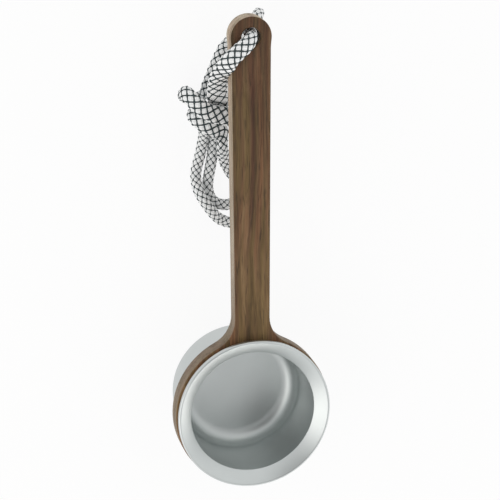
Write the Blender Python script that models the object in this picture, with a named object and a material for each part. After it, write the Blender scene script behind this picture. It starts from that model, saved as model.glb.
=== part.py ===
"""A coffee scoop: a turned aluminium cup bonded into the ring of a flat wooden handle, with a knotted braided cord.

Metres, +Z up. The cup stands on the origin with its mouth up, and the handle points along +Y.
"""

import math

import bmesh
import bpy
import numpy as np
from mathutils import Vector

# Cup
CUP_HEIGHT = 0.0277
CUP_BORE = 0.0406
CUP_WALL = 0.0012
FLOOR_THICKNESS = 0.0015
INNER_FILLET = 0.0052
OUTER_FILLET = 0.0020

# Flared rim, which hangs over the ring of the handle
RIM_OVERHANG = 0.0035  # how far the rim reaches out past the cup's wall
RIM_RISE = 0.0031  # from the handle's front face to the top of the rim
RIM_LAND = 0.0007
RIM_EDGE_HEIGHT = 0.0016
RIM_EDGE_ROUNDING = 0.0005
MOUTH_BEVEL_DEPTH = 0.0030
SHOULDER_WIDTH = 0.0017  # flat underside that seats on the ring

# Wooden handle
HANDLE_THICKNESS = 0.00575
RING_PROUD = 0.0003  # how far the ring stands out past the rim
HOLE_DISTANCE = 0.1223  # from the cup's axis to the cord hole's
HOLE_DIAMETER = 0.0061
SHAFT_WIDTH_AT_CUP = 0.0110  # where the shaft's lines would reach the cup's axis
SHAFT_WIDTH_AT_HOLE = 0.01246
HEAD_BULGE = 0.00027  # how far the round head stands out past the shaft on each side
NECK_RADIUS = 0.020
FLARE_RADIUS = 0.010  # concave fillets between the shaft and the ring
EDGE_EASING = 0.0004
LIP_EASING = 0.0004  # on the lips of the bore and of the cord hole

# Bond line between the cup and the handle
BOND_GAP = 0.0003

# Cord
CORD_DIAMETER = 0.0036
CORD_STEP = 0.0023
CORD_FLOOR_GAP = 0.0003  # between the table and the cord that lies on it

# Facets
CUP_STEPS = 88
FILLET_STEPS = 6
RING_STEPS = 84
HEAD_STEPS = 28
FLARE_STEPS = 9
NECK_STEPS = 4
BORE_STEPS = 72
HOLE_STEPS = 32

CUP_RADIUS = CUP_BORE / 2 + CUP_WALL
RIM_RADIUS = CUP_RADIUS + RIM_OVERHANG
BORE_RADIUS = CUP_RADIUS + BOND_GAP
RING_RADIUS = RIM_RADIUS + RING_PROUD
FRONT_Z = CUP_HEIGHT - RIM_RISE
BACK_Z = FRONT_Z - HANDLE_THICKNESS
HEAD_RADIUS = SHAFT_WIDTH_AT_HOLE / 2 + HEAD_BULGE
HOLE_CENTRE = Vector((0, HOLE_DISTANCE, FRONT_Z - HANDLE_THICKNESS / 2))

# The cord's route in millimetres. x and y are from the hole's axis, and z is from the handle's front face.
# It starts at the end that is tucked into the knot, runs out along the table and back under the handle,
# up through the knot, over the handle's edge and down the hole, and then round to tie the knot itself.
CORD_ROUTE_MM = (
    # tucked end, and the outer strand of the wrist loop
    (-11.0, -29.6, -17.8),
    (-11.2, -31.7, -18.1),
    (-10.8, -34.0, -19.7),
    (-10.9, -37.6, -21.7),
    (-11.7, -42.5, -22.4),
    (-13.0, -47.2, -22.3),
    (-13.2, -50.4, -21.1),
    (-12.7, -53.3, -19.3),
    (-10.9, -56.5, -18.3),
    (-8.1, -60.6, -19.1),
    (-5.0, -63.7, -21.1),
    # turn under the handle
    (1.0, -65.9, -22.2),
    (5.6, -65.4, -22.4),
    (8.2, -62.5, -22.4),
    (7.2, -58.7, -22.4),
    (3.2, -57.3, -22.4),
    # inner strand of the wrist loop
    (-1.3, -59.1, -22.4),
    (-4.7, -59.0, -22.4),
    (-7.4, -57.4, -22.4),
    (-8.8, -54.0, -22.4),
    (-8.7, -50.5, -22.4),
    (-7.9, -46.6, -22.4),
    (-7.0, -41.6, -22.4),
    (-6.7, -37.9, -22.3),
    # through the knot and up to the handle's edge
    (-6.5, -34.7, -21.2),
    (-6.2, -31.9, -18.9),
    (-5.9, -28.9, -17.7),
    (-7.6, -24.9, -17.0),
    (-8.7, -21.2, -14.0),
    (-9.2, -17.3, -9.8),
    (-9.5, -13.2, -4.6),
    (-8.9, -9.6, -0.2),
    # across the front of the head and down the hole
    (-7.4, -6.6, 2.1),
    (-4.7, -4.0, 2.3),
    (-1.4, -1.3, 2.1),
    (0.2, 0.2, 0.3),
    (0.5, 0.4, -2.9),
    (0.7, 0.5, -6.4),
    # bight behind the head, and the strand that comes back to the knot
    (2.9, 1.7, -9.8),
    (5.7, 4.3, -13.6),
    (6.6, 3.0, -18.2),
    (5.2, -0.7, -21.2),
    (1.4, -4.1, -21.6),
    (-2.7, -6.6, -21.2),
    (-5.9, -11.9, -20.0),
    (-8.0, -16.8, -19.6),
    (-9.0, -19.7, -20.2),
    # first turn of the knot
    (-10.7, -22.5, -21.6),
    (-13.4, -23.2, -22.2),
    (-16.2, -22.3, -21.4),
    (-17.7, -20.4, -18.6),
    (-17.7, -19.4, -15.3),
    (-16.5, -20.7, -13.0),
    (-14.1, -23.2, -12.1),
    (-11.8, -25.2, -12.0),
    (-9.0, -26.5, -12.3),
    (-6.2, -27.4, -13.0),
    (0.4, -29.2, -15.4),
    (1.9, -29.1, -18.8),
    (0.4, -29.6, -21.6),
    # second turn of the knot
    (-3.6, -29.4, -22.4),
    (-8.6, -29.0, -22.4),
    (-12.4, -28.4, -22.0),
    (-14.4, -27.1, -19.4),
    (-15.1, -26.9, -16.2),
    (-13.9, -28.3, -14.0),
    (-11.6, -30.3, -13.6),
    (-8.7, -31.8, -13.7),
    (-5.7, -34.0, -15.2),
    # last strand, which ends under the handle
    (-3.7, -37.5, -18.0),
    (-2.9, -41.2, -20.7),
    (-1.8, -45.7, -22.3),
    (-0.2, -49.1, -22.4),
    (2.6, -51.7, -22.4),
    (6.4, -52.5, -22.4),
)


def make_material(name, colour, roughness, metallic):
    material = bpy.data.materials.new(name)
    material.use_nodes = True
    shader = material.node_tree.nodes["Principled BSDF"]
    shader.inputs["Base Color"].default_value = (*colour, 1)
    shader.inputs["Roughness"].default_value = roughness
    shader.inputs["Metallic"].default_value = metallic
    return material


def add_object(name, data):
    obj = bpy.data.objects.new(name, data)
    bpy.context.scene.collection.objects.link(obj)
    return obj


def arc(centre, radius, start, end, steps):
    """Points along an arc in the plane, from one angle to another, with both ends."""
    angles = [start + (end - start) * i / steps for i in range(steps + 1)]
    return [(centre[0] + radius * math.cos(a), centre[1] + radius * math.sin(a)) for a in angles]


def turned(name, profile, steps):
    """A solid of revolution about Z from a profile that starts and ends on the axis."""
    mesh = bpy.data.meshes.new(name)
    edges = [(i, i + 1) for i in range(len(profile) - 1)]
    mesh.from_pydata([(r, 0, z) for r, z in profile], edges, [])
    obj = add_object(name, mesh)
    screw = obj.modifiers.new("Turn", "SCREW")
    screw.axis = "Z"
    screw.steps = screw.render_steps = steps
    screw.use_merge_vertices = True
    screw.merge_threshold = 0.00001
    screw.use_smooth_shade = True
    return obj


def cup_profile():
    """Half section of the cup: up the inside, over the flared rim, and down the outside to the base."""
    inside = CUP_BORE / 2
    shoulder_z = FRONT_Z + BOND_GAP
    edge_z = CUP_HEIGHT - RIM_EDGE_HEIGHT
    quarter = math.pi / 2
    floor_corner = (inside - INNER_FILLET, FLOOR_THICKNESS + INNER_FILLET)
    edge_corner = (RIM_RADIUS - RIM_EDGE_ROUNDING, CUP_HEIGHT - RIM_EDGE_ROUNDING)
    base_corner = (CUP_RADIUS - OUTER_FILLET, OUTER_FILLET)
    return [
        (0, FLOOR_THICKNESS),
        *arc(floor_corner, INNER_FILLET, -quarter, 0, FILLET_STEPS),
        (inside, CUP_HEIGHT - MOUTH_BEVEL_DEPTH),
        (RIM_RADIUS - RIM_LAND, CUP_HEIGHT),
        *arc(edge_corner, RIM_EDGE_ROUNDING, quarter, 0, FILLET_STEPS),
        (RIM_RADIUS, edge_z),
        (CUP_RADIUS + SHOULDER_WIDTH, shoulder_z),
        (CUP_RADIUS, shoulder_z),
        *arc(base_corner, OUTER_FILLET, 0, -quarter, FILLET_STEPS),
        (0, 0),
    ]


def fillet_centre(radius, round_centre_y, round_radius, side):
    """Centre of an arc that touches the shaft's right edge and, outside, a round about (0, round_centre_y).

    side is 1 where the arc lies above the round's centre and -1 where it lies below.
    """
    slope = (SHAFT_WIDTH_AT_HOLE - SHAFT_WIDTH_AT_CUP) / 2 / HOLE_DISTANCE
    offset = SHAFT_WIDTH_AT_CUP / 2 + radius * math.hypot(1, slope)
    reach = round_radius + radius
    # The centre is on x = offset + slope * y, at the distance reach from the round's centre.
    a = 1 + slope**2
    b = offset * slope - round_centre_y
    c = offset**2 + round_centre_y**2 - reach**2
    y = (-b + side * math.sqrt(b * b - a * c)) / a
    return offset + slope * y, y


def handle_outline():
    """Outline of the handle, anticlockwise: ring, concave flares, tapered shaft, round head."""
    slope = (SHAFT_WIDTH_AT_HOLE - SHAFT_WIDTH_AT_CUP) / 2 / HOLE_DISTANCE
    to_shaft = math.pi - math.atan(slope)
    flare = fillet_centre(FLARE_RADIUS, 0, RING_RADIUS, 1)
    neck = fillet_centre(NECK_RADIUS, HOLE_DISTANCE, HEAD_RADIUS, -1)
    to_ring = math.pi + math.atan2(flare[1], flare[0])
    to_head = math.pi + math.atan2(neck[1] - HOLE_DISTANCE, neck[0])
    right = arc(flare, FLARE_RADIUS, to_ring, to_shaft, FLARE_STEPS)
    right += arc(neck, NECK_RADIUS, to_shaft, to_head, NECK_STEPS)
    head_start = to_head - math.pi
    head = arc((0, HOLE_DISTANCE), HEAD_RADIUS, head_start, math.pi - head_start, HEAD_STEPS)
    ring_start = math.tau - to_ring
    ring = arc((0, 0), RING_RADIUS, ring_start, to_ring + math.pi, RING_STEPS)
    left = [(-x, y) for x, y in reversed(right)]
    return right + head[1:-1] + left + ring[1:-1]


def lipped_cutter(name, centre_y, radius, steps):
    """Cutter for a hole through the handle, with a chamfer at each lip."""
    past = EDGE_EASING
    wide = radius + LIP_EASING
    profile = [
        (0, FRONT_Z + past),
        (wide + past, FRONT_Z + past),
        (radius, FRONT_Z - LIP_EASING),
        (radius, BACK_Z + LIP_EASING),
        (wide + past, BACK_Z - past),
        (0, BACK_Z - past),
    ]
    cutter = turned(name, profile, steps)
    cutter.location.y = centre_y
    cutter.hide_render = True
    cutter.display_type = "WIRE"
    return cutter


def make_cup():
    cup = turned("scoop_cup", cup_profile(), CUP_STEPS)
    cup.data.materials.append(make_material("satin_aluminium", (0.72, 0.73, 0.74), 0.38, 1.0))
    return cup


def make_handle():
    mesh = bpy.data.meshes.new("wooden_handle")
    bm = bmesh.new()
    face = bm.faces.new([bm.verts.new((x, y, BACK_Z)) for x, y in handle_outline()])
    grown = bmesh.ops.extrude_face_region(bm, geom=[face])["geom"]
    top = [v for v in grown if isinstance(v, bmesh.types.BMVert)]
    bmesh.ops.translate(bm, verts=top, vec=(0, 0, HANDLE_THICKNESS))
    bmesh.ops.recalc_face_normals(bm, faces=bm.faces)
    bm.to_mesh(mesh)
    bm.free()
    handle = add_object("wooden_handle", mesh)
    mesh.shade_smooth()
    mesh.set_sharp_from_angle(angle=math.radians(40))
    ease = handle.modifiers.new("Eased edges", "BEVEL")
    ease.width = EDGE_EASING
    ease.segments = 3
    ease.limit_method = "ANGLE"
    ease.angle_limit = math.radians(60)
    for cutter in (
        lipped_cutter("cup_bore_cutter", 0, BORE_RADIUS, BORE_STEPS),
        lipped_cutter("cord_hole_cutter", HOLE_DISTANCE, HOLE_DIAMETER / 2, HOLE_STEPS),
    ):
        cut = handle.modifiers.new(cutter.name, "BOOLEAN")
        cut.operation = "DIFFERENCE"
        cut.object = cutter
    mesh.materials.append(make_material("walnut_wood", (0.13, 0.075, 0.042), 0.6, 0.0))
    return handle


def smooth_curve(points, per_span=16):
    """Points along a centripetal Catmull-Rom curve through the given points."""
    points = np.asarray(points, float)
    ends = 2 * points[0] - points[1], 2 * points[-1] - points[-2]
    padded = np.vstack([ends[0], points, ends[1]])
    curve = []
    for p0, p1, p2, p3 in zip(padded, padded[1:], padded[2:], padded[3:]):
        t1 = np.linalg.norm(p1 - p0) ** 0.5
        t2 = t1 + np.linalg.norm(p2 - p1) ** 0.5
        t3 = t2 + np.linalg.norm(p3 - p2) ** 0.5
        t = np.linspace(t1, t2, per_span, endpoint=False)[:, None]
        a1 = (t1 - t) / t1 * p0 + t / t1 * p1
        a2 = (t2 - t) / (t2 - t1) * p1 + (t - t1) / (t2 - t1) * p2
        a3 = (t3 - t) / (t3 - t2) * p2 + (t - t2) / (t3 - t2) * p3
        b1 = (t2 - t) / t2 * a1 + t / t2 * a2
        b2 = (t3 - t) / (t3 - t1) * a2 + (t - t1) / (t3 - t1) * a3
        curve.append((t2 - t) / (t2 - t1) * b1 + (t - t1) / (t2 - t1) * b2)
    return np.vstack([*curve, points[-1:]])


def even_steps(curve, step):
    """The curve again, as points about one step apart, and its length."""
    along = np.concatenate([[0], np.cumsum(np.linalg.norm(np.diff(curve, axis=0), axis=1))])
    count = round(along[-1] / step)
    wanted = np.linspace(0, along[-1], count + 1)
    return np.stack([np.interp(wanted, along, curve[:, k]) for k in range(3)], axis=1), along[-1]


def least_gap(curve, diameter):
    """Least gap of the cord to itself, measured between points that lie well apart along it."""
    fine, length = even_steps(curve, diameter / 6)
    count = len(fine)
    apart = np.linalg.norm(fine[:, None] - fine[None], axis=2)
    steps_apart = np.abs(np.subtract.outer(np.arange(count), np.arange(count)))
    near = steps_apart * length / (count - 1) < 2 * diameter
    return np.where(near, np.inf, apart).min() - diameter


def cord_curve():
    """The cord's centre line in metres, about the middle of the cord hole."""
    route = np.array(CORD_ROUTE_MM) / 1000
    route[:, 2] += HANDLE_THICKNESS / 2
    lowest = CORD_FLOOR_GAP + CORD_DIAMETER / 2 - HOLE_CENTRE.z
    curve = smooth_curve(route)
    curve[:, 2] = np.maximum(curve[:, 2], lowest)
    return curve


def make_cord():
    """The cord turns about the hole's axis, so its origin is there."""
    curve = cord_curve()
    points, length = even_steps(curve, CORD_STEP)
    print(f"cord: {length * 1000:.0f} mm long, least gap to itself {least_gap(curve, CORD_DIAMETER) * 1000:.2f} mm")
    data = bpy.data.curves.new("lanyard_cord", "CURVE")
    data.dimensions = "3D"
    data.bevel_depth = CORD_DIAMETER / 2
    data.bevel_resolution = 2
    data.use_fill_caps = True
    spline = data.splines.new("POLY")
    spline.points.add(len(points) - 1)
    for place, point in zip(spline.points, points):
        place.co = (*point, 1)
    spline.use_smooth = True
    cord = add_object("lanyard_cord", data)
    cord.location = HOLE_CENTRE
    data.materials.append(make_material("braided_cord", (0.62, 0.64, 0.64), 0.85, 0.0))
    return cord


def main():
    for obj in list(bpy.data.objects):
        bpy.data.objects.remove(obj, do_unlink=True)
    make_cup()
    make_handle()
    make_cord()
    bpy.context.view_layer.update()


main()
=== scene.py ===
"""Looks of the coffee scoop: a satin cup, a walnut handle and a knotted braided cord, on a pale floor."""

import math

import bpy
import numpy as np
from mathutils import Matrix, Vector


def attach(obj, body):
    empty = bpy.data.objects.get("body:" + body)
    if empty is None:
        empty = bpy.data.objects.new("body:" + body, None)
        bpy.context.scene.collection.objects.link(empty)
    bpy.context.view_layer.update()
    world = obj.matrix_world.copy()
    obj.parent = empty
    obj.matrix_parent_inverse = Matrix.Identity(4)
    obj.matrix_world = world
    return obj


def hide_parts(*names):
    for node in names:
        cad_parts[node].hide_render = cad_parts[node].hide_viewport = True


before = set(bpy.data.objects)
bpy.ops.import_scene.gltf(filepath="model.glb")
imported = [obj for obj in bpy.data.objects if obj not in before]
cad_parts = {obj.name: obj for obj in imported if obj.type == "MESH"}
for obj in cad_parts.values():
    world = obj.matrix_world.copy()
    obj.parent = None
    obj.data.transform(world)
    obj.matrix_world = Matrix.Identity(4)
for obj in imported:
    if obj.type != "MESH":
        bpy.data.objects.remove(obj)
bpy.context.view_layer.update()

# Camera, at the photograph's place
CAMERA_PLACE = (-0.14569, 0.25139, 0.60096)
CAMERA_RIGHT = (0.96944574, -0.00425577, 0.24526893)
CAMERA_UP = (0.08097584, 0.94935526, -0.30359101)
CAMERA_LENS = 144
CAMERA_SENSOR = 36
NEAREST_SEEN = 0.01
FARTHEST_SEEN = 20

# Cup
CUP_HEIGHT = 0.0277
CUP_INSIDE = 0.0203
CUP_OUTSIDE = 0.0215
FLOOR_THICKNESS = 0.0015
FLOOR_RINGS = 6
INNER_FILLET = 0.0052
INNER_FILLET_STEPS = 14
OUTER_FILLET = 0.0020
OUTER_FILLET_STEPS = 10
RIM_RADIUS = 0.0250
RIM_LAND = 0.0006  # from the bevel's upper corner to the rim's outside, before the lip is rounded
RIM_EDGE_HEIGHT = 0.0016
LIP_ROUNDING = 0.00055
LIP_STEPS = 16
MOUTH_BEVEL_DEPTH = 0.0030
SHOULDER_RADIUS = 0.0232
SHOULDER_Z = 0.0249
CORNER_ROUNDING = 0.00022
CORNER_STEPS = 3
CORNER_ANGLE = math.radians(25)
CUP_TURN_STEPS = 192
SATIN_TONES = ((0.3, (0.560, 0.589, 0.585)), (0.7, (0.600, 0.631, 0.625)))

# Handle
FRONT_Z = 0.0246
HOLE_Y = 0.1223
# Within this reach of the hole's axis, the wall is given the darker face wood as painted shade.
HOLE_REACH = 0.0045  # from the hole's axis, past its wall but short of the handle's edge
EDGE_RISE = 0.6  # a face whose normal rises less than this is an edge of the handle
FLAT_ANGLE = math.radians(0.2)
SMOOTH_ANGLE = math.radians(35)
MERGE_DISTANCE = 0.000002

# Walnut. The browns are a ramp over the grain, and a grading is what they are multiplied by along the handle:
# painted shade that darkens the face toward the head, and painted light that lightens the edges toward the
# head.
FACE_BROWNS = (
    (0.36, (0.068, 0.036, 0.015)),
    (0.46, (0.116, 0.065, 0.029)),
    (0.54, (0.163, 0.093, 0.042)),
    (0.66, (0.237, 0.146, 0.076)),
)
# Lighter than the face: partly a paler sawn edge, partly a painted highlight from the side light.
SAWN_EDGE_AND_HIGHLIGHT_BROWNS = (
    (0.36, (0.202, 0.153, 0.104)),
    (0.46, (0.319, 0.253, 0.183)),
    (0.54, (0.373, 0.307, 0.230)),
    (0.66, (0.436, 0.373, 0.292)),
)
GRADED_FROM_Y = 0.020
GRADED_TO_Y = 0.130
# Painted shade: the face is darkened toward the head.
FACE_PAINTED_SHADE_ALONG = ((0.0, (1.12, 1.10, 1.10)), (0.55, (0.96, 0.95, 0.95)), (1.0, (0.66, 0.65, 0.68)))
# Painted light: the edges are lightened toward the head. They are also darker at the ring's end.
EDGE_PAINTED_LIGHT_ALONG = (
    (0.06, (0.60, 0.56, 0.52)),
    (0.25, (1, 1, 1)),
    (0.50, (1, 1, 1)),
    (0.75, (1.26, 1.26, 1.26)),
)
HUE_TINTS = ((0.38, (1.08, 0.92, 0.90)), (0.5, (1, 1, 1)), (0.62, (0.93, 1.02, 0.84)))
GRAIN_WANDER = 0.0035
GRAIN_SCALE = (1, 0.03, 1)
PORE_SCALE = (1, 0.06, 1)
PORE_OPENING = ((0.58, (0, 0, 0)), (0.72, (1, 1, 1)))
PORE_BROWN = (0.034, 0.021, 0.009, 1)
STREAK_X = 0.0018  # dark streak in the heartwood, before the grain wanders
STREAK_WIDTH = 0.0016
STREAK_REACH = ((0.24, (0, 0, 0)), (0.45, (0.9, 0.9, 0.9)), (0.76, (1, 1, 1)), (0.90, (0.4, 0.4, 0.4)))
STREAK_TINT = (0.50, 0.40, 0.45, 1)

# Studio: pale walls under a darker ceiling, with a dark side above the camera that the metal reflects
LOW_WALLS = 1.0
CEILING = 0.68
WALLS_END = 0.78  # how steeply a ray rises where the walls begin to darken
CEILING_START = 0.92
DARK_SIDE = (-0.30, 0.31, 0.90)
DARK_SHARE = 0.05
DARK_EDGE = 0.90  # cosine of the angle from the dark side
DARK_CORE = 0.975
FLOOR_SIZE = 6
FLOOR_PAINT = (0.90, 0.90, 0.90, 1)
FLOOR_WHITE = 0.90  # share of plain white in the floor as seen. The rest is paint, which keeps the shadow.
LIGHT_AIM = (0, 0.02, 0.02)
WARM_WHITE = (1.0, 0.955, 0.92)

# Cord: a hollow braid of pale cells between dark tracer threads
CORD_DIAMETER = 0.0036
CELLS_ROUND = 5
CELL_LENGTH = 0.0023
SAMPLES_PER_CELL = 10
RING_STEP = CELL_LENGTH / SAMPLES_PER_CELL
GROOVE_RADIUS = 0.00148
CELL_RADIUS = 0.00182
CELL_PUFF = 0.5
TRACER_RADIUS = 0.00018
TRACER_CENTRE = 0.00160
TRACER_WEAVE = 0.00008
TRACER_DIP = 0.00014
TRACER_SIDES = 6
TRACER_STEP = 0.0003
YARNS_PER_CELL = 3
TWILL_REPEAT = 4
END_ROUNDING = 0.0012
END_SHARE = 0.2  # of the cord's radius, left at its very end
SOFTENING_PASSES = 40
PALE_TONES = ((0.3, (0.90, 0.92, 0.92)), (0.7, (0.97, 0.975, 0.97)))
# Painted shade: the pale yarn is darkened toward the furrows between yarns.
FURROW_PAINTED_SHADE = ((0.0, (0.78, 0.80, 0.81)), (0.55, (1, 1, 1)))
DARK_TONES = ((0.3, (0.012, 0.022, 0.024)), (0.7, (0.045, 0.066, 0.070)))

# Where the braid is pressed flat, it is wider and thinner, its cells are longer and its dark threads bolder.
PRESSED_WIDER = 0.52
PRESSED_THINNER = 0.36
PRESSED_LONGER = 0.22
PRESSED_TRACER = 0.62
THINNEST = 0.45  # of the round cord's thickness, where it is pressed flattest
BOLD_BELOW = 2.2  # flatness at which the dark threads are as fine again as in the round cord

# The cord's route in metres. x and y are from the hole's axis, and z is from the handle's front face.
CORD_STRETCHES = {
    "outer strand": (
        (-0.0110, -0.0296, -0.0178),
        (-0.0112, -0.0317, -0.0181),
        (-0.0108, -0.0340, -0.0197),
        (-0.0109, -0.0376, -0.0217),
        (-0.0117, -0.0425, -0.0224),
        (-0.0130, -0.0472, -0.0223),
        (-0.0132, -0.0504, -0.0211),
        (-0.0127, -0.0533, -0.0193),
        (-0.0109, -0.0565, -0.0183),
        (-0.0081, -0.0606, -0.0191),
        (-0.0050, -0.0637, -0.0211),
    ),
    "turn under the handle": (
        (0.0010, -0.0659, -0.0222),
        (0.0056, -0.0654, -0.0224),
        (0.0082, -0.0625, -0.0224),
        (0.0072, -0.0587, -0.0224),
        (0.0032, -0.0573, -0.0224),
    ),
    "inner strand": (
        (-0.0013, -0.0591, -0.0224),
        (-0.0047, -0.0590, -0.0224),
        (-0.0074, -0.0574, -0.0224),
        (-0.0088, -0.0540, -0.0224),
        (-0.0087, -0.0505, -0.0224),
        (-0.0079, -0.0466, -0.0224),
        (-0.0070, -0.0416, -0.0224),
        (-0.0067, -0.0379, -0.0223),
    ),
    "through the knot": (
        (-0.0065, -0.0347, -0.0212),
        (-0.0062, -0.0319, -0.0189),
        (-0.0059, -0.0289, -0.0177),
    ),
    "up to the edge": (
        (-0.0076, -0.0249, -0.0170),
        (-0.0087, -0.0212, -0.0140),
        (-0.0092, -0.0173, -0.0098),
        (-0.0095, -0.0132, -0.0046),
        (-0.0089, -0.0096, -0.0002),
    ),
    "across the head": (
        (-0.0074, -0.0066, 0.0021),
        (-0.0047, -0.0040, 0.0023),
        (-0.0014, -0.0013, 0.0021),
    ),
    "down the hole": (
        (0.0002, 0.0002, 0.0003),
        (0.0005, 0.0004, -0.0029),
        (0.0007, 0.0005, -0.0064),
    ),
    "bight behind the head": (
        (0.0029, 0.0017, -0.0098),
        (0.0057, 0.0043, -0.0136),
        (0.0066, 0.0030, -0.0182),
        (0.0052, -0.0007, -0.0212),
        (0.0014, -0.0041, -0.0216),
    ),
    "back to the knot": (
        (-0.0027, -0.0066, -0.0212),
        (-0.0059, -0.0119, -0.0200),
        (-0.0080, -0.0168, -0.0196),
        (-0.0090, -0.0197, -0.0202),
    ),
    "start of the first turn": (
        (-0.0107, -0.0225, -0.0216),
        (-0.0134, -0.0232, -0.0222),
        (-0.0162, -0.0223, -0.0214),
        (-0.0177, -0.0204, -0.0186),
        (-0.0177, -0.0194, -0.0153),
        (-0.0165, -0.0207, -0.0130),
    ),
    "front of the first turn": (
        (-0.0141, -0.0232, -0.0121),
        (-0.0118, -0.0252, -0.0120),
        (-0.0090, -0.0265, -0.0123),
        (-0.0062, -0.0274, -0.0130),
    ),
    "behind the knot": (
        (0.0004, -0.0292, -0.0154),
        (0.0019, -0.0291, -0.0188),
        (0.0004, -0.0296, -0.0216),
        (-0.0036, -0.0294, -0.0224),
        (-0.0086, -0.0290, -0.0224),
        (-0.0124, -0.0284, -0.0220),
    ),
    "start of the second turn": (
        (-0.0144, -0.0271, -0.0194),
        (-0.0151, -0.0269, -0.0162),
    ),
    "front of the second turn": (
        (-0.0139, -0.0283, -0.0140),
        (-0.0116, -0.0303, -0.0136),
        (-0.0087, -0.0318, -0.0137),
        (-0.0057, -0.0340, -0.0152),
    ),
    "last strand": (
        (-0.0037, -0.0375, -0.0180),
        (-0.0029, -0.0412, -0.0207),
        (-0.0018, -0.0457, -0.0223),
        (-0.0002, -0.0491, -0.0224),
        (0.0026, -0.0517, -0.0224),
        (0.0064, -0.0525, -0.0224),
    ),
}

# How flat each pressed stretch is at its start and end, the point (in the frame) that it is pressed towards,
# and how far it leans aside from its route at its start and end
PRESSED = {
    "outer strand": (0.0, 0.0, (0, HOLE_Y, 0), (0.0004, 0, 0), (0, 0, 0)),
    "inner strand": (0.0, 0.0, (0, HOLE_Y, 0), (0, 0, 0), (-0.0003, 0, 0)),
    "through the knot": (0.0, 1.2, (-0.0080, 0.1040, 0.0020), (-0.0003, 0, 0), (-0.0006, 0, 0.0002)),
    "up to the edge": (2.0, 1.4, (-0.0080, 0.1040, 0.0020), (0.0013, 0.0007, 0.0022), (0.0004, 0, 0)),
    "across the head": (1.0, 0.8, (-0.0030, 0.1190, 0.0100), (0, 0, 0), (0, 0, 0)),
    "back to the knot": (0.3, 1.0, (-0.0060, 0.1040, -0.0100), (0, 0, 0), (0.0004, 0, 0)),
    "start of the first turn": (0.0, 0.8, (-0.0090, 0.0960, 0.0065), (0, 0, 0), (0, 0, 0)),
    "front of the first turn": (1.0, 1.5, (-0.0090, 0.0960, 0.0065), (0, 0, 0), (0, 0, 0)),
    "behind the knot": (1.2, 0.0, (-0.0090, 0.0960, 0.0065), (0, 0, 0), (0, 0, 0)),
    "start of the second turn": (0.2, 0.7, (-0.0085, 0.0910, 0.0060), (0, 0, 0), (0, 0, 0)),
    "front of the second turn": (1.0, 1.2, (-0.0085, 0.0910, 0.0060), (0, 0.0002, 0), (0.0005, 0.0006, 0)),
    "last strand": (0.2, 0.0, (-0.0085, 0.0910, 0.0060), (-0.0016, -0.0010, 0.0008), (0, 0, 0)),
}
UNPRESSED = (0, 0, (0, HOLE_Y, 0), (0, 0, 0), (0, 0, 0))


def new_material(name):
    material = bpy.data.materials.new(name)
    material.use_nodes = True
    tree = material.node_tree
    return material, tree, tree.nodes["Principled BSDF"]


def set_input(tree, socket, value):
    """Links another node's output to a socket, or sets a plain value on it."""
    if isinstance(value, bpy.types.NodeSocket):
        tree.links.new(value, socket)
    else:
        socket.default_value = value


def add_node(tree, kind, settings=None, **inputs):
    """Adds a shader node. Inputs are given by socket name, with _ for a space."""
    node = tree.nodes.new("ShaderNode" + kind)
    for name, value in (settings or {}).items():
        setattr(node, name, value)
    for name, value in inputs.items():
        set_input(tree, node.inputs[name.replace("_", " ")], value)
    return node


def maths(tree, operation, *values):
    """A Math node's result for one or two values, each a number or another node's output."""
    node = add_node(tree, "Math", {"operation": operation})
    for socket, value in zip(node.inputs, values):
        set_input(tree, socket, value)
    return node.outputs[0]


def noise(tree, place, **inputs):
    return add_node(tree, "TexNoise", Vector=place, **inputs).outputs["Fac"]


def colour_ramp(tree, factor, stops):
    node = add_node(tree, "ValToRGB", Fac=factor)
    ramp = node.color_ramp
    while len(ramp.elements) < len(stops):
        ramp.elements.new(0.5)
    for element, (place, colour) in zip(ramp.elements, stops):
        element.position = place
        element.color = (*colour, 1)
    return node.outputs["Color"]


def mixed_colour(tree, kind, factor, first, second):
    """Two colours mixed: MIX, MULTIPLY and so on. Each may be a colour or another node's output."""
    node = add_node(tree, "Mix", {"data_type": "RGBA", "blend_type": kind})
    for number, value in ((0, factor), (6, first), (7, second)):
        set_input(tree, node.inputs[number], value)
    return node.outputs[2]


def add_relief(tree, shader, height, strength, depth):
    bump = add_node(tree, "Bump", Height=height, Strength=strength, Distance=depth)
    tree.links.new(bump.outputs["Normal"], shader.inputs["Normal"])


def smooth_curve(points, per_span=16):
    """Points along a centripetal Catmull-Rom curve through the given points."""
    points = np.asarray(points, float)
    ends = 2 * points[0] - points[1], 2 * points[-1] - points[-2]
    padded = np.vstack([ends[0], points, ends[1]])
    curve = []
    for p0, p1, p2, p3 in zip(padded, padded[1:], padded[2:], padded[3:]):
        t1 = np.linalg.norm(p1 - p0) ** 0.5
        t2 = t1 + np.linalg.norm(p2 - p1) ** 0.5
        t3 = t2 + np.linalg.norm(p3 - p2) ** 0.5
        t = np.linspace(t1, t2, per_span, endpoint=False)[:, None]
        a1 = (t1 - t) / t1 * p0 + t / t1 * p1
        a2 = (t2 - t) / (t2 - t1) * p1 + (t - t1) / (t2 - t1) * p2
        a3 = (t3 - t) / (t3 - t2) * p2 + (t - t2) / (t3 - t2) * p3
        b1 = (t2 - t) / t2 * a1 + t / t2 * a2
        b2 = (t3 - t) / (t3 - t1) * a2 + (t - t1) / (t3 - t1) * a3
        curve.append((t2 - t) / (t2 - t1) * b1 + (t - t1) / (t2 - t1) * b2)
    return np.vstack([*curve, points[-1:]])


def softened(points, passes):
    """The points with small kinks evened out. The two ends stay."""
    points = points.copy()
    for _ in range(passes):
        points[1:-1] = points[1:-1] / 2 + (points[:-2] + points[2:]) / 4
    return points


def distance_along(points):
    return np.concatenate([[0], np.cumsum(np.linalg.norm(np.diff(points, axis=0), axis=1))])


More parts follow.
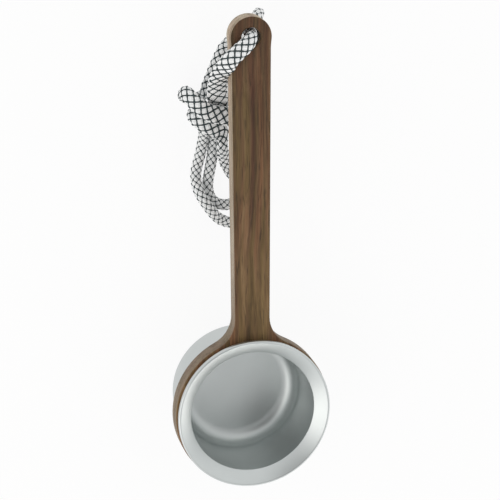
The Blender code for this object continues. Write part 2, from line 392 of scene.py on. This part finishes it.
def even_line(curve, carried):
    """The curve and what it carries, as rows about one ring's step apart along the curve."""
    along = distance_along(curve)
    wanted = np.linspace(0, along[-1], round(along[-1] / RING_STEP) + 1)
    return np.stack([np.interp(wanted, along, column) for column in (*curve.T, *carried)], axis=1)


def unit(vectors):
    return vectors / np.linalg.norm(vectors, axis=1)[:, None]


def untwisted_frames(points):
    """Unit vectors along the curve and two across it at each point, carried along without twist."""
    tangents = unit(np.gradient(points, axis=0))
    side = np.cross(tangents[0], (0, 0, 1))
    sides = []
    for tangent in tangents:
        side = side - tangent * (side @ tangent)
        side = side / np.linalg.norm(side)
        sides.append(side)
    sides = np.array(sides)
    return tangents, sides, np.cross(tangents, sides)


class Cord:
    """The cord's centre line, with a way to put points on its sections, which are round or pressed flat."""

    def __init__(self):
        rows = []
        for name, points in CORD_STRETCHES.items():
            flat_start, flat_end, towards, lean_start, lean_end = PRESSED.get(name, UNPRESSED)
            points = np.add(points, np.linspace(lean_start, lean_end, len(points)))
            for point, flatness in zip(points, np.linspace(flat_start, flat_end, len(points))):
                rows.append((*point, flatness, *towards))
        rows = np.array(rows)
        rows[:, :3] += (0, HOLE_Y, FRONT_Z)
        # The flatness and the point pressed towards are carried along the curve with its place.
        curve = smooth_curve(rows[:, :3])
        spans = np.linspace(0, len(rows) - 1, len(curve))
        carried = [np.interp(spans, np.arange(len(rows)), column) for column in rows[:, 3:].T]
        line = softened(even_line(curve, carried), SOFTENING_PASSES)
        line = even_line(line[:, :3], line[:, 3:].T)
        self.line = line[:, :3]
        self.flatness = line[:, 3]
        self.along = distance_along(self.line)
        self.length = self.along[-1]
        tangents, self.sides, self.ups = untwisted_frames(self.line)
        outward = self.line - line[:, 4:]
        outward -= tangents * np.sum(outward * tangents, axis=1)[:, None]
        self.outward = unit(outward)
        cell = CELL_LENGTH * (1 + PRESSED_LONGER * self.flatness)
        self.cells = np.concatenate([[0], np.cumsum(np.diff(self.along) / cell[1:])])

    def sampled(self, values, along):
        return np.stack([np.interp(along, self.along, column) for column in values.T], axis=1)

    def cell_count(self, along):
        """Cells passed from the start of the cord to these distances along it."""
        return np.interp(along, self.along, self.cells)

    def place(self, along, angle, radius):
        """Points at these distances along the cord, turned by angle and radius away from its middle."""
        side, up = self.sampled(self.sides, along), self.sampled(self.ups, along)
        outward = unit(self.sampled(self.outward, along))
        flatness = np.interp(along, self.along, self.flatness)[:, None]
        from_end = np.minimum(along, self.length - along).clip(0, END_ROUNDING) / END_ROUNDING
        taper = np.sqrt(1 - (1 - from_end) ** 2).clip(END_SHARE, 1)
        offset = (np.cos(angle)[:, None] * side + np.sin(angle)[:, None] * up) * (radius * taper)[:, None]
        deep = outward * np.sum(offset * outward, axis=1)[:, None]
        wide = offset - deep
        thinner = np.maximum(1 - PRESSED_THINNER * flatness, THINNEST)
        offset = deep * thinner + wide * (1 + PRESSED_WIDER * flatness)
        settled = outward * (1 - thinner) * CORD_DIAMETER / 2
        return self.sampled(self.line, along) - settled + offset


def mesh_object(name, points, faces, material):
    mesh = bpy.data.meshes.new(name)
    mesh.from_pydata(points.tolist(), [], faces)
    mesh.shade_smooth()
    mesh.materials.append(material)
    obj = bpy.data.objects.new(name, mesh)
    bpy.context.scene.collection.objects.link(obj)
    return obj


def tube_faces(rings, sides, first=0):
    """Faces of a closed tube whose rings of points lie one after the other."""
    faces = []
    for i in range(rings - 1):
        low = first + i * sides
        for j in range(sides):
            k = (j + 1) % sides
            faces.append((low + j, low + k, low + sides + k, low + sides + j))
    last = first + (rings - 1) * sides
    faces.append(tuple(range(first + sides - 1, first - 1, -1)))
    faces.append(tuple(range(last, last + sides)))
    return faces


def map_braid(sheath, passed, sides):
    """UV map of the sheath: cells round it and cells along it. Its two ends stay at zero."""
    near = np.arange(sides) * CELLS_ROUND / sides
    far = near + CELLS_ROUND / sides
    places = np.zeros((len(sheath.data.loops), 2))
    walls = places[: (len(passed) - 1) * sides * 4].reshape(len(passed) - 1, sides, 4, 2)
    for corner, (u, v) in enumerate(((near, 0), (far, 0), (far, 1), (near, 1))):
        walls[:, :, corner, 0] = u
        walls[:, :, corner, 1] = passed[v : len(passed) - 1 + v, None]
    layer = sheath.data.uv_layers.new(name="braid")
    layer.data.foreach_set("uv", places.ravel())


def pale_yarn():
    """Pale yarns in a twill braid: each goes over two and under two of those that cross it."""
    material, tree, shader = new_material("pale_braid_yarn")
    place = add_node(tree, "TexCoord").outputs["Object"]
    braid = add_node(tree, "UVMap", {"uv_map": "braid"}).outputs["UV"]
    split = add_node(tree, "SeparateXYZ", Vector=braid).outputs
    right = maths(tree, "MULTIPLY", maths(tree, "ADD", split["X"], split["Y"]), YARNS_PER_CELL)
    left = maths(tree, "MULTIPLY", maths(tree, "SUBTRACT", split["X"], split["Y"]), YARNS_PER_CELL)
    crossed = maths(tree, "ADD", maths(tree, "FLOOR", right), maths(tree, "FLOOR", left))
    in_repeat = maths(tree, "FLOORED_MODULO", crossed, TWILL_REPEAT)
    over = maths(tree, "LESS_THAN", in_repeat, (TWILL_REPEAT - 1) / 2)
    crown_right = maths(tree, "PINGPONG", right, 0.5)
    crown_left = maths(tree, "PINGPONG", left, 0.5)
    crown = add_node(tree, "Mix", {"data_type": "FLOAT"})
    for number, value in ((0, over), (2, crown_right), (3, crown_left)):
        set_input(tree, crown.inputs[number], value)
    yarn = maths(tree, "MULTIPLY", crown.outputs[0], 2)
    colour = colour_ramp(tree, noise(tree, place, Scale=420, Detail=3), PALE_TONES)
    # Painted shade: the yarn's colour darkens toward its furrows.
    furrow_shade = colour_ramp(tree, yarn, FURROW_PAINTED_SHADE)
    tree.links.new(mixed_colour(tree, "MULTIPLY", 1.0, colour, furrow_shade), shader.inputs["Base Color"])
    fibres = maths(tree, "MULTIPLY", noise(tree, place, Scale=6000, Detail=2), 0.4)
    add_relief(tree, shader, maths(tree, "ADD", yarn, fibres), strength=0.5, depth=0.0001)
    shader.inputs["Roughness"].default_value = 0.85
    shader.inputs["Sheen Weight"].default_value = 0.30
    return material


def dark_yarn():
    material, tree, shader = new_material("dark_tracer_yarn")
    place = add_node(tree, "TexCoord").outputs["Object"]
    colour = colour_ramp(tree, noise(tree, place, Scale=700, Detail=3), DARK_TONES)
    tree.links.new(colour, shader.inputs["Base Color"])
    shader.inputs["Roughness"].default_value = 0.8
    return material


def make_cord():
    cord = Cord()
    sides = CELLS_ROUND * SAMPLES_PER_CELL
    rings = len(cord.along)
    along = np.repeat(cord.along, sides)
    angle = np.tile(np.arange(sides) * math.tau / sides, rings)
    around = CELLS_ROUND * angle / math.tau
    passed = cord.cell_count(along)
    swell = np.abs(np.sin(math.pi * (around + passed)) * np.sin(math.pi * (around - passed))) ** CELL_PUFF
    points = cord.place(along, angle, GROOVE_RADIUS + (CELL_RADIUS - GROOVE_RADIUS) * swell)
    sheath = mesh_object("cord_sheath", points, tube_faces(rings, sides), pale_yarn())
    map_braid(sheath, cord.cell_count(cord.along), sides)

    steps = round(cord.length / TRACER_STEP)
    along = np.linspace(0, cord.length, steps)
    passed = cord.cell_count(along)
    flatness = np.interp(along, cord.along, cord.flatness)
    bolder = PRESSED_TRACER * flatness * (BOLD_BELOW - flatness).clip(0) / (BOLD_BELOW - 1)
    thickness = TRACER_RADIUS * (1 + bolder)
    ring = np.arange(TRACER_SIDES) * math.tau / TRACER_SIDES
    points, faces = [], []
    for hand in (1, -1):
        for start in range(CELLS_ROUND):
            angle = (start + hand * passed) * math.tau / CELLS_ROUND
            weave = hand * TRACER_WEAVE * np.cos(math.tau * passed)
            dip = TRACER_DIP * np.sin(math.tau * passed) ** 2
            middle = cord.place(along, angle, TRACER_CENTRE - weave - dip)
            _, side, up = untwisted_frames(middle)
            around = np.cos(ring)[None, :, None] * side[:, None] + np.sin(ring)[None, :, None] * up[:, None]
            first = sum(map(len, points))
            points.append((middle[:, None] + thickness[:, None, None] * around).reshape(-1, 3))
            faces += tube_faces(steps, TRACER_SIDES, first)
    tracers = mesh_object("cord_tracers", np.vstack(points), faces, dark_yarn())

    for piece in (sheath, tracers):
        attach(piece, "lanyard")
    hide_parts("lanyard_cord")


def arc(centre, radius, start, end, steps):
    angles = np.linspace(start, end, steps + 1)
    return [(centre[0] + radius * math.cos(a), centre[1] + radius * math.sin(a)) for a in angles]


def satin_aluminium():
    """Satin anodised aluminium with a fine blasted grain and faint clouding."""
    material, tree, shader = new_material("satin_aluminium_finish")
    place = add_node(tree, "TexCoord").outputs["Object"]
    add_relief(tree, shader, noise(tree, place, Scale=5200, Detail=2), strength=0.06, depth=0.0001)
    colour = colour_ramp(tree, noise(tree, place, Scale=60, Detail=3), SATIN_TONES)
    tree.links.new(colour, shader.inputs["Base Color"])
    shader.inputs["Metallic"].default_value = 1.0
    shader.inputs["Roughness"].default_value = 0.40
    return material


def cup_section():
    """Half section of the cup, from the middle of its floor over the rim to the middle of its base."""
    quarter = math.pi / 2
    inner_r, outer_r = CUP_INSIDE - INNER_FILLET, CUP_OUTSIDE - OUTER_FILLET
    section = [(inner_r * k / FLOOR_RINGS, FLOOR_THICKNESS) for k in range(FLOOR_RINGS)]
    inner = inner_r, FLOOR_THICKNESS + INNER_FILLET
    section += arc(inner, INNER_FILLET, -quarter, 0, INNER_FILLET_STEPS)
    section += [(CUP_INSIDE, CUP_HEIGHT - MOUTH_BEVEL_DEPTH)]
    # The lip is one arc that touches the bevel and the rim's outside.
    slope = math.atan2(MOUTH_BEVEL_DEPTH, RIM_RADIUS - RIM_LAND - CUP_INSIDE)
    lip_r = RIM_RADIUS - LIP_ROUNDING
    lip_z = CUP_HEIGHT + (RIM_LAND - LIP_ROUNDING) * math.tan(slope) - LIP_ROUNDING / math.cos(slope)
    section += arc((lip_r, lip_z), LIP_ROUNDING, quarter + slope, 0, LIP_STEPS)
    section += [
        (RIM_RADIUS, CUP_HEIGHT - RIM_EDGE_HEIGHT),
        (SHOULDER_RADIUS, SHOULDER_Z),
        (CUP_OUTSIDE, SHOULDER_Z),
    ]
    section += arc((outer_r, OUTER_FILLET), OUTER_FILLET, 0, -quarter, OUTER_FILLET_STEPS)
    return [*section, (0, 0)]


def make_cup():
    """The cup is turned: its half section is drawn point by point and spun round the axis."""
    section = cup_section()
    bpy.ops.object.select_all(action="DESELECT")
    bpy.ops.mesh.primitive_plane_add(size=0.001, location=(section[0][0], 0, section[0][1]))
    cup = bpy.context.object
    cup.name = cup.data.name = "turned_cup"
    bpy.ops.object.transform_apply()
    bpy.ops.object.mode_set(mode="EDIT")
    bpy.ops.mesh.select_all(action="SELECT")
    bpy.ops.mesh.merge(type="CENTER")
    for (r, z), (next_r, next_z) in zip(section, section[1:]):
        bpy.ops.mesh.extrude_region_move(TRANSFORM_OT_translate={"value": (next_r - r, 0, next_z - z)})
    bpy.ops.mesh.select_all(action="SELECT")
    bpy.ops.mesh.spin(steps=CUP_TURN_STEPS, angle=math.tau, center=(0, 0, 0), axis=(0, 0, 1))
    bpy.ops.mesh.select_all(action="SELECT")
    bpy.ops.mesh.remove_doubles(threshold=MERGE_DISTANCE)
    bpy.ops.mesh.normals_make_consistent(inside=False)
    bpy.ops.object.mode_set(mode="OBJECT")
    corners = cup.modifiers.new("Eased corners", "BEVEL")
    corners.width = CORNER_ROUNDING
    corners.segments = CORNER_STEPS
    corners.limit_method = "ANGLE"
    corners.angle_limit = CORNER_ANGLE
    bpy.ops.object.modifier_apply(modifier=corners.name)
    bpy.ops.object.shade_smooth_by_angle(angle=CORNER_ANGLE)
    cup.data.materials.append(satin_aluminium())
    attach(cup, "scoop")
    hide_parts("scoop_cup")


def walnut(name, browns, painted_light_and_shade_along, tint_share, pore_depth):
    """Oiled walnut with its grain along the handle, from a ramp of browns, with dark open pores."""
    material, tree, shader = new_material(name)
    place = add_node(tree, "TexCoord").outputs["Object"]
    wander = add_node(tree, "TexNoise", Vector=place, Scale=30, Detail=2).outputs["Color"]
    shift = add_node(tree, "VectorMath", {"operation": "MULTIPLY_ADD"})
    for socket, value in zip(shift.inputs, (wander, (GRAIN_WANDER, 0, GRAIN_WANDER), place)):
        set_input(tree, socket, value)
    wandering = shift.outputs[0]
    grain = add_node(tree, "Mapping", Vector=wandering, Scale=GRAIN_SCALE).outputs["Vector"]
    figure = noise(tree, grain, Scale=300, Detail=2, Roughness=0.5)
    fibres = noise(tree, grain, Scale=1500, Detail=4, Roughness=0.65)
    tone = maths(tree, "ADD", maths(tree, "MULTIPLY", figure, 0.5), maths(tree, "MULTIPLY", fibres, 0.5))
    brown = colour_ramp(tree, tone, browns)
    tint = colour_ramp(tree, noise(tree, grain, Scale=420, Detail=1), HUE_TINTS)
    brown = mixed_colour(tree, "MULTIPLY", tint_share, brown, tint)

    # The wood is multiplied by a grading along the handle, which is painted shade on the face and painted
    # light on the edges, and one dark streak runs beside its middle.
    split = add_node(tree, "SeparateXYZ", Vector=wandering).outputs
    along = add_node(tree, "MapRange", Value=split["Y"], From_Min=GRADED_FROM_Y, From_Max=GRADED_TO_Y)
    along = along.outputs["Result"]
    brown = mixed_colour(tree, "MULTIPLY", 1.0, brown, colour_ramp(tree, along, painted_light_and_shade_along))
    aside = maths(tree, "ABSOLUTE", maths(tree, "SUBTRACT", split["X"], STREAK_X))
    smooth = {"interpolation_type": "SMOOTHSTEP"}
    across = add_node(tree, "MapRange", smooth, Value=aside, From_Min=STREAK_WIDTH, From_Max=0)
    reach = colour_ramp(tree, along, STREAK_REACH)
    streak = maths(tree, "MULTIPLY", across.outputs["Result"], reach)
    brown = mixed_colour(tree, "MULTIPLY", streak, brown, STREAK_TINT)

    dashes = add_node(tree, "Mapping", Vector=wandering, Scale=PORE_SCALE).outputs["Vector"]
    open_pore = colour_ramp(tree, noise(tree, dashes, Scale=2200, Detail=1), PORE_OPENING)
    brown = mixed_colour(tree, "MIX", maths(tree, "MULTIPLY", open_pore, pore_depth), brown, PORE_BROWN)
    tree.links.new(brown, shader.inputs["Base Color"])
    relief = maths(tree, "SUBTRACT", maths(tree, "MULTIPLY", fibres, 0.6), open_pore)
    add_relief(tree, shader, relief, strength=0.3, depth=0.0002)
    shader.inputs["Roughness"].default_value = 0.6
    shader.inputs["Specular IOR Level"].default_value = 0.30
    return material


def make_handle():
    """The handle is a copy of the solid, merged, with its flat faces and its edges in two walnuts. The edges'
    walnut is lighter, partly as paler sawn wood and partly as a painted highlight, and the hole's wall keeps
    the darker face walnut as painted shade.
    """
    bpy.ops.object.select_all(action="DESELECT")
    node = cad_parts["wooden_handle"]
    bpy.context.view_layer.objects.active = node
    node.select_set(True)
    bpy.ops.object.duplicate()
    handle = bpy.context.object
    handle.name = handle.data.name = "walnut_handle"
    for key in list(handle.keys()):
        del handle[key]
    handle.parent = None
    bpy.ops.object.mode_set(mode="EDIT")
    bpy.ops.mesh.select_all(action="SELECT")
    bpy.ops.mesh.remove_doubles(threshold=MERGE_DISTANCE)
    bpy.ops.mesh.dissolve_limited(angle_limit=FLAT_ANGLE)
    bpy.ops.object.mode_set(mode="OBJECT")
    bpy.ops.object.shade_smooth_by_angle(angle=SMOOTH_ANGLE)
    face_wood = walnut("walnut_face", FACE_BROWNS, FACE_PAINTED_SHADE_ALONG, tint_share=1.0, pore_depth=0.6)
    # The edges' walnut is lighter, partly as sawn wood and partly as a painted highlight.
    edge_wood = walnut("walnut_sawn_edge_and_painted_highlight", SAWN_EDGE_AND_HIGHLIGHT_BROWNS, EDGE_PAINTED_LIGHT_ALONG, tint_share=0.3, pore_depth=0.35)
    handle.data.materials.clear()
    handle.data.materials.append(face_wood)
    handle.data.materials.append(edge_wood)
    for face in handle.data.polygons:
        # Painted shade: the hole's wall takes the darker face wood, not the lighter edge wood.
        in_hole = math.hypot(face.center.x, face.center.y - HOLE_Y) < HOLE_REACH
        face.material_index = int(abs(face.normal.z) < EDGE_RISE and not in_hole)
    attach(handle, "scoop")
    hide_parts("wooden_handle")


def make_floor():
    bpy.ops.object.select_all(action="DESELECT")
    bpy.ops.mesh.primitive_plane_add(size=FLOOR_SIZE)
    floor = bpy.context.object
    floor.name = "studio_floor"
    material, tree, shader = new_material("studio_floor_paint")
    shader.inputs["Base Color"].default_value = FLOOR_PAINT
    shader.inputs["Roughness"].default_value = 0.9
    rays = add_node(tree, "LightPath").outputs
    seen = maths(tree, "MAXIMUM", rays["Is Camera Ray"], rays["Is Glossy Ray"])
    white = add_node(tree, "Emission", Color=(1, 1, 1, 1), Strength=1.0)
    mixed = add_node(tree, "MixShader")
    shares = maths(tree, "MULTIPLY", seen, FLOOR_WHITE), shader.outputs["BSDF"], white.outputs[0]
    for socket, value in zip(mixed.inputs, shares):
        set_input(tree, socket, value)
    tree.links.new(mixed.outputs[0], tree.nodes["Material Output"].inputs["Surface"])
    floor.data.materials.append(material)


def make_walls():
    world = bpy.data.worlds.new("studio")
    bpy.context.scene.world = world
    world.use_nodes = True
    tree = world.node_tree
    ray = add_node(tree, "TexCoord").outputs["Generated"]
    height = add_node(tree, "SeparateXYZ", Vector=ray).outputs["Z"]
    walls = colour_ramp(tree, height, [(WALLS_END, [LOW_WALLS] * 3), (CEILING_START, [CEILING] * 3)])
    towards = add_node(tree, "VectorMath", {"operation": "DOT_PRODUCT"})
    for socket, value in zip(towards.inputs, (ray, DARK_SIDE)):
        set_input(tree, socket, value)
    dark = colour_ramp(tree, towards.outputs["Value"], [(DARK_EDGE, [1] * 3), (DARK_CORE, [DARK_SHARE] * 3)])
    light = mixed_colour(tree, "MULTIPLY", 1.0, walls, dark)
    tree.links.new(light, tree.nodes["Background"].inputs["Color"])
    tree.nodes["Background"].inputs["Strength"].default_value = 1.0


def area_light(name, place, size, power):
    data = bpy.data.lights.new(name, "AREA")
    data.shape = "RECTANGLE"
    data.size, data.size_y = size
    data.energy = power
    data.color = WARM_WHITE
    light = bpy.data.objects.new(name, data)
    light.location = place
    light.rotation_euler = (Vector(LIGHT_AIM) - Vector(place)).to_track_quat("-Z", "Y").to_euler()
    bpy.context.scene.collection.objects.link(light)


def make_lights():
    area_light("left_softbox", place=(-0.59, -0.215, 0.41), size=(0.66, 0.58), power=1.30)
    area_light("front_strip", place=(0.48, -0.56, 0.12), size=(0.95, 0.16), power=1.06)


def make_camera():
    data = bpy.data.cameras.new("photo_camera")
    data.lens = CAMERA_LENS
    data.sensor_width = CAMERA_SENSOR
    data.clip_start, data.clip_end = NEAREST_SEEN, FARTHEST_SEEN
    camera = bpy.data.objects.new("photo_camera", data)
    right, up = Vector(CAMERA_RIGHT), Vector(CAMERA_UP)
    turn = Matrix((right, up, right.cross(up))).transposed()
    camera.matrix_world = Matrix.Translation(CAMERA_PLACE) @ turn.to_4x4()
    bpy.context.scene.collection.objects.link(camera)
    bpy.context.scene.camera = camera


make_camera()
make_cord()
make_cup()
make_handle()
make_floor()
make_walls()
make_lights()
bpy.context.scene.view_settings.view_transform = "Standard"

bpy.context.view_layer.update()
